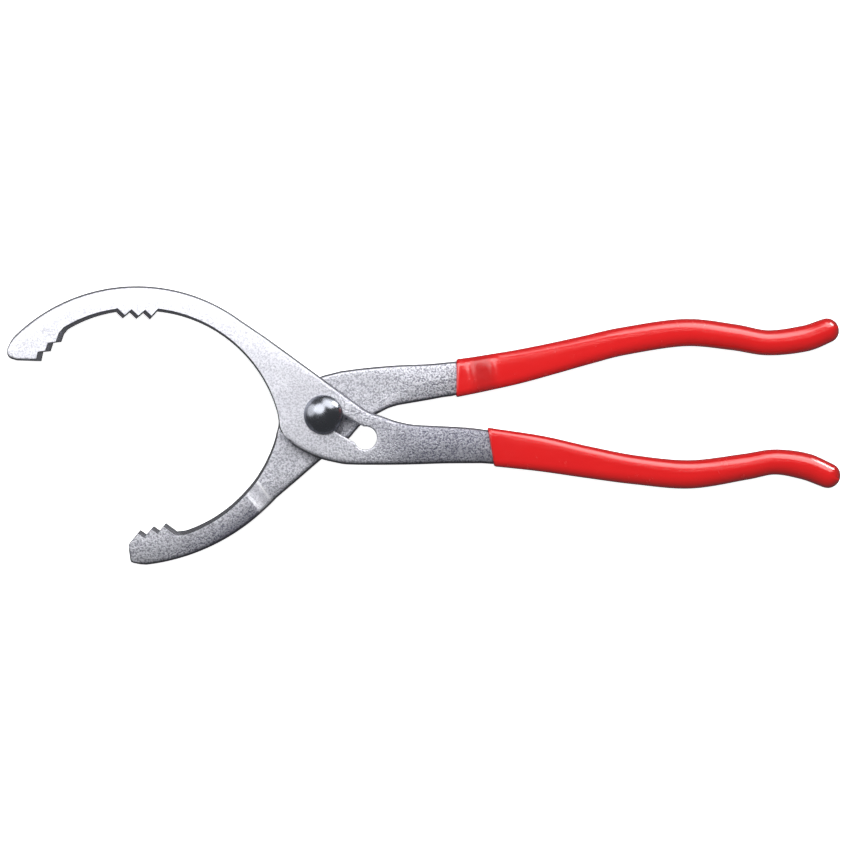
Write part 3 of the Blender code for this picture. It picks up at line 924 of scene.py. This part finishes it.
def plated_steel():
    """Shot-blasted forged steel under bright zinc: a fine pebble grain, darker pits and smoother milled jaw
    walls, with painted shade and painted highlights.

    It reads the attributes that forging paints on the vertices.
    """
    light_zinc = (0.83, 0.83, 0.88, 1.0)
    dark_zinc = (0.73, 0.73, 0.79, 1.0)
    painted_shade_colour = (0.32, 0.32, 0.38, 1.0)
    pit_colour = (0.17, 0.17, 0.22, 1.0)
    highlight_colour = (0.97, 0.97, 0.98, 1.0)
    burnished_colour = (0.74, 0.74, 0.78, 1.0)
    edge_shade_colour = (0.12, 0.12, 0.14, 1.0)
    wall_shade_colour = (0.26, 0.26, 0.29, 1.0)
    material, tree, shader = new_material("plated_steel")
    coords = object_coords(tree)
    milled_and_shaded = attribute(tree, "milled_and_shaded")
    crease_highlight = attribute(tree, "crease_highlight")
    pebbles = noise_of(tree, coords, 1500.0, 3.0, 0.65)
    fine = noise_of(tree, coords, 3600.0, 1.0, 0.5)
    clouds = noise_of(tree, coords, 150.0, 3.0, 0.55)

    # How strongly the grain shows
    blasted = remap(tree, milled_and_shaded, 0.2, 0.8, 1.0, 0.12)
    coarseness = product(tree, remap(tree, attribute(tree, "dull"), 0.0, 1.0, 0.40, 1.0), blasted)
    # The grain is fainter under the painted highlights.
    coarseness = product(tree, coarseness, remap(tree, crease_highlight, 0.0, 1.0, 1.0, 0.3))

    # Colour, each layer over the one before
    base = mix_colour(tree, clouds, dark_zinc, light_zinc)
    # Painted shade where forging asks for it, a little patchy with the clouds.
    shade_share = product(tree, attribute(tree, "painted_shade"), remap(tree, clouds, 0.3, 0.7, 0.7, 0.5))
    base = mix_colour(tree, shade_share, base, painted_shade_colour)
    pits = product(tree, remap(tree, pebbles, 0.40, 0.55, 1.0, 0.0), coarseness)
    shade = mix_colour(tree, pits, base, pit_colour)
    # Painted highlights along the rear arm's joggle.
    shade = mix_colour(tree, remap(tree, crease_highlight, 0.0, 1.0, 0.0, 0.8), shade, highlight_colour)
    burnished = product(tree, remap(tree, attribute(tree, "rim"), 0.5, 1.0, 0.0, 0.12), blasted)
    shade = mix_colour(tree, burnished, shade, burnished_colour)
    # Painted shade, nearly black, from about half way round each rolled edge down its side to the flash
    # line.
    edge_shading = remap(tree, attribute(tree, "edge_shade"), 0.2, 1.0, 0.0, 0.88)
    shade = mix_colour(tree, edge_shading, shade, edge_shade_colour)
    # Painted shade on the jaws' milled walls.
    shade = mix_colour(tree, product(tree, milled_and_shaded, 0.6), shade, wall_shade_colour)
    tree.links.new(shade, shader.inputs["Base Color"])

    roughness = remap(tree, fine, 0.3, 0.7, 0.42, 0.54)
    roughness = product(tree, roughness, remap(tree, milled_and_shaded, 0.2, 0.8, 1.0, 0.45))
    tree.links.new(roughness, shader.inputs["Roughness"])
    shader.inputs["Metallic"].default_value = 0.86
    grain = math_of(tree, "ADD", pebbles, product(tree, fine, 0.2))
    uneven = bump_of(tree, clouds, 0.0003, 0.5)
    grained = bump_of(tree, product(tree, grain, coarseness), 0.00036, 0.9, uneven)
    tree.links.new(grained, shader.inputs["Normal"])
    return material


def bright_steel():
    """Polished and chromed steel, with faint turning rings and hair scratches."""
    ring_frequency = 21000.0
    material, tree, shader = new_material("bright_steel")
    coords = object_coords(tree)
    flattened = add_node(tree, "ShaderNodeMapping", Vector=coords, Scale=(1.0, 1.0, 0.0)).outputs[0]
    radius = add_node(tree, "ShaderNodeVectorMath", {"operation": "LENGTH"}, i0=flattened)
    turns = product(tree, radius.outputs["Value"], ring_frequency)
    rings = math_of(tree, "SINE", turns, 0.0)
    haze = noise_of(tree, coords, 220.0, 2.0, 0.5)
    scratches = noise_of(tree, coords, 5200.0, 1.0, 0.4)
    tint = mix_colour(tree, haze, (0.28, 0.29, 0.32, 1.0), (0.21, 0.22, 0.25, 1.0))
    tree.links.new(tint, shader.inputs["Base Color"])
    shader.inputs["Metallic"].default_value = 1.0
    tree.links.new(remap(tree, haze, 0.35, 0.7, 0.20, 0.29), shader.inputs["Roughness"])
    turned = bump_of(tree, rings, 0.000001, 0.4)
    tree.links.new(bump_of(tree, scratches, 0.0000015, 0.3, turned), shader.inputs["Normal"])
    return material


def zinc_steel():
    """Zinc-plated steel, satin and slightly cloudy."""
    material, tree, shader = new_material("zinc_steel")
    coords = object_coords(tree)
    clouds = noise_of(tree, coords, 350.0, 4.0, 0.6)
    fine = noise_of(tree, coords, 4200.0, 2.0, 0.5)
    tint = mix_colour(tree, clouds, (0.60, 0.62, 0.66, 1.0), (0.76, 0.765, 0.77, 1.0))
    tree.links.new(tint, shader.inputs["Base Color"])
    shader.inputs["Metallic"].default_value = 1.0
    tree.links.new(remap(tree, clouds, 0.3, 0.7, 0.25, 0.42), shader.inputs["Roughness"])
    tree.links.new(bump_of(tree, fine, 0.00002, 0.5), shader.inputs["Normal"])
    return material


def red_vinyl():
    """Glossy dipped vinyl: a faint orange-peel surface, cloudy pigment and light scuffs."""
    material, tree, shader = new_material("red_vinyl")
    coords = object_coords(tree)
    clouds = noise_of(tree, coords, 60.0, 3.0, 0.5)
    peel = noise_of(tree, coords, 420.0, 2.0, 0.5)
    specks = noise_of(tree, coords, 2600.0, 2.0, 0.6)
    scuffs = noise_of(tree, coords, 190.0, 5.0, 0.7)
    tint = mix_colour(tree, clouds, (0.93, 0.010, 0.013, 1.0), (1.0, 0.015, 0.015, 1.0))
    worn = remap(tree, scuffs, 0.58, 0.72, 0.0, 0.12)
    tint = mix_colour(tree, worn, tint, (0.90, 0.09, 0.07, 1.0))
    tree.links.new(tint, shader.inputs["Base Color"])
    roughness = remap(tree, scuffs, 0.4, 0.7, 0.16, 0.30)
    tree.links.new(roughness, shader.inputs["Roughness"])
    shader.inputs["IOR"].default_value = 1.5
    shader.inputs["Coat Weight"].default_value = 1.0
    shader.inputs["Coat IOR"].default_value = 1.5
    shader.inputs["Coat Roughness"].default_value = 0.16
    waves = bump_of(tree, peel, 0.00006, 0.5)
    tree.links.new(bump_of(tree, specks, 0.00001, 0.4, waves), shader.inputs["Normal"])
    return material


# ---- the object -----------------------------------------------------------------------------------------

def add_piece(name, mesh, material, body, node):
    """A piece that rides on a body in the place of a CAD node."""
    piece = bpy.data.objects.new(name, mesh)
    bpy.context.scene.collection.objects.link(piece)
    mesh.materials.append(material)
    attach(piece, body)
    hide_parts(node)
    return piece


def weighted(piece):
    """Keeps large faces flat in their shading beside narrow round edges."""
    modifier = piece.modifiers.new("Even normals", "WEIGHTED_NORMAL")
    modifier.keep_sharp = True
    modifier.weight = 50


steel = plated_steel()
chrome = bright_steel()
zinc = zinc_steel()
vinyl = red_vinyl()

lines = crease_lines()
front_mesh = forging(
    "front_forging", front_outline(), FRONT_LEVEL, pitch=SLIP, lines=[], bearing_face=-1, jaw_crown=0.0)
rear_mesh = forging(
    "rear_forging", split_at_lines(rear_outline(), lines), REAR_LEVEL,
    pitch=0.0, lines=lines, bearing_face=1, jaw_crown=0.8)
weighted(add_piece("front_forging", front_mesh, steel, "front_arm", "front_arm"))
weighted(add_piece("rear_forging", rear_mesh, steel, "rear_arm", "rear_arm"))

front_sleeve = grip("front_sleeve", FRONT_HANDLE, FRONT_LEVEL, FRONT_MOUTH_LEAN, False)
rear_sleeve = grip("rear_sleeve", REAR_HANDLE, REAR_LEVEL, REAR_MOUTH_LEAN, True)
add_piece("front_sleeve", front_sleeve, vinyl, "front_arm", "front_grip")
add_piece("rear_sleeve", rear_sleeve, vinyl, "rear_arm", "rear_grip")

weighted(add_piece("dome_bolt", bolt("dome_bolt"), chrome, "pivot", "pivot_bolt"))
weighted(add_piece("hexagon_nut", nut("hexagon_nut"), zinc, "pivot", "pivot_nut"))


# ---- floor, light and camera ----------------------------------------------------------------------------

# (radius, height) of the floor's rings
FLOOR_RINGS = (
    (0.5, 0.0), (1.5, 0.0), (2.5, 0.0), (3.2, 0.08), (3.9, 0.35), (4.5, 0.95), (4.9, 2.0), (5.0, 3.4),
)
FLOOR_STEPS = 64
FLOOR_CLEARANCE = 0.0002


def floor():
    """A wide pale sweep that curves up far from the object.

    It glows evenly, so that it stays plain, and it lights and reflects in nothing.
    """
    bm = bmesh.new()
    rings = []
    for radius, height in FLOOR_RINGS:
        ring = []
        for step in range(FLOOR_STEPS):
            angle = 2 * math.pi * step / FLOOR_STEPS
            place = (radius * math.cos(angle), radius * math.sin(angle), height - FLOOR_CLEARANCE)
            ring.append(bm.verts.new(place))
        rings.append(ring)
    for near, far in zip(rings, rings[1:]):
        band(bm, far, near)
    bm.faces.new(rings[0])
    mesh = bpy.data.meshes.new("sweep")
    bm.to_mesh(mesh)
    bm.free()
    mesh.shade_smooth()
    sweep = bpy.data.objects.new("sweep", mesh)
    bpy.context.scene.collection.objects.link(sweep)
    material, _, shader = new_material("pale_sweep")
    shader.inputs["Base Color"].default_value = (0.9, 0.9, 0.9, 1.0)
    shader.inputs["Roughness"].default_value = 0.9
    shader.inputs["Emission Color"].default_value = (1.0, 1.0, 1.0, 1.0)
    shader.inputs["Emission Strength"].default_value = 0.93
    mesh.materials.append(material)
    sweep.visible_glossy = False
    sweep.visible_diffuse = False


def area_light(name, place, target, width, height, power, glossy=True):
    """A soft light that shows only in reflections or, if not glossy, lights only a surface's own colour."""
    light = bpy.data.lights.new(name, "AREA")
    light.shape = "ELLIPSE"
    light.size = width
    light.size_y = height
    light.energy = power
    lamp = bpy.data.objects.new(name, light)
    bpy.context.scene.collection.objects.link(lamp)
    lamp.location = place
    aim = Vector(target) - Vector(place)
    lamp.rotation_mode = "QUATERNION"
    lamp.rotation_quaternion = aim.to_track_quat("-Z", "Y")
    lamp.visible_camera = False
    lamp.visible_glossy = glossy
    lamp.visible_diffuse = not glossy


def world(strength):
    """An even, faintly blue surrounding."""
    backdrop = bpy.data.worlds.new("studio")
    bpy.context.scene.world = backdrop
    backdrop.use_nodes = True
    shade = backdrop.node_tree.nodes["Background"]
    shade.inputs["Color"].default_value = (0.95, 0.97, 1.0, 1.0)
    shade.inputs["Strength"].default_value = strength


def camera():
    """Straight down on the tool, from far enough away that its sides hardly show."""
    view_width = 0.3101
    view_centre = (0.0370, -0.0038)
    distance = 1.5
    sensor = 36.0
    data = bpy.data.cameras.new("camera")
    data.sensor_width = sensor
    data.lens = sensor * distance / view_width
    eye = bpy.data.objects.new("camera", data)
    bpy.context.scene.collection.objects.link(eye)
    eye.location = (*view_centre, FRONT_LEVEL * MM + distance)
    bpy.context.scene.camera = eye


floor()
world(0.12)
# "over" shades the vinyl from above. The others are what the steel and the gloss reflect.
area_light("over", (0.08, 0.34, 0.77), (0.08, 0.0, 0.0), 0.40, 0.40, 5.8, glossy=False)
area_light("key", (-0.08, 0.115, 0.20), (-0.03, 0.02, 0.0), 0.22, 0.22, 0.41)
area_light("side", (-0.42, 0.16, 0.20), (-0.03, 0.01, 0.0), 0.44, 0.44, 1.0)
area_light("window", (0.37, 0.76, 0.50), (0.12, 0.0, 0.0), 0.95, 0.62, 5.1)
area_light("sill", (0.37, 0.84, 0.18), (0.12, 0.0, 0.0), 0.95, 0.30, 1.5)
area_light("wall", (0.55, 0.50, 0.06), (0.0, 0.0, 0.01), 0.30, 0.22, 2.2)
camera()

bpy.context.scene.view_settings.view_transform = "Standard"
